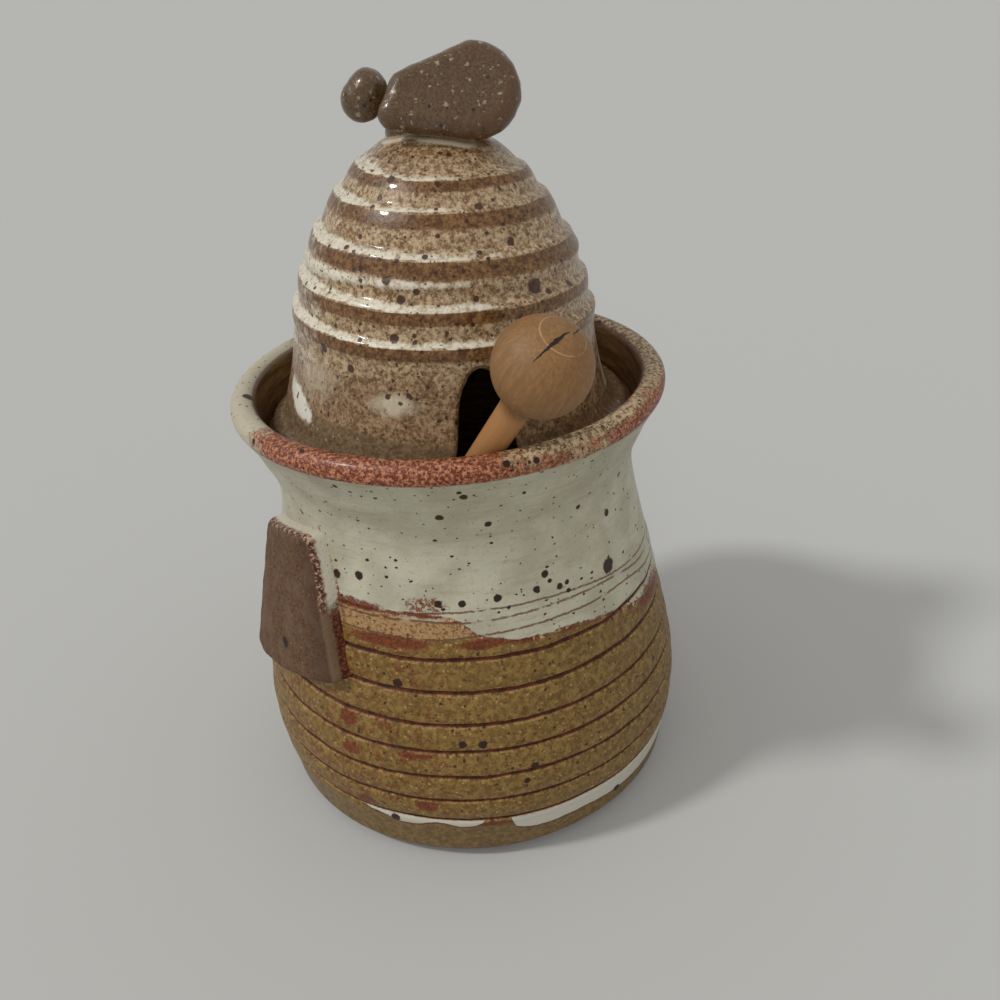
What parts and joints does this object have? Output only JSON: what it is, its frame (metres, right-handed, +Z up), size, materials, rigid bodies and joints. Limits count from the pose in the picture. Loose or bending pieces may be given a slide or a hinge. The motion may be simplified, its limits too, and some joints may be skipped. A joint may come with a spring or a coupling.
{
  "type": "honey pot",
  "caption": "Thrown stoneware honey pot with a lift-off beehive lid, a clay bee as its handle and a wooden honey dipper leaning out through the lid's notch.",
  "frame": {"origin": "centre of the pot's flat foot, on the table", "axes": "+Z up through the lid, the dipper's knob stands out towards -Y, the clay tag is on the -X and -Y side"},
  "size_m": [0.1155, 0.1219, 0.1883],
  "materials": {
    "pot_glaze": "speckled pale green to olive glaze over iron-rich stoneware, satin",
    "bare_clay": "unglazed fired clay, rough",
    "lid_glaze": "brown glaze that breaks white on the throwing ridges, glossy",
    "bee_glaze": "speckled brown glaze that breaks amber on the edges, glossy",
    "dipper_wood": "plain sanded pale hardwood, unfinished"
  },
  "bodies": {
    "pot": {"pot": "pot_glaze", "clay_tag": "bare_clay"},
    "lid": {"lid": "lid_glaze", "bee_body": "bee_glaze", "bee_left_wing": "bee_glaze", "bee_right_wing": "bee_glaze", "bee_head": "bee_glaze"},
    "dipper": {"dipper": "dipper_wood"}
  },
  "joints": [
    {"name": "lid_lift", "type": "slide", "parent": "pot", "child": "lid", "axis": [0, 0, 1], "range_m": [0, 0.06]},
    {"name": "dipper_draw", "type": "slide", "parent": "pot", "child": "dipper", "axis": [0.4092, -0.4141, 0.8131], "range_m": [0, 0.05]}
  ]
}
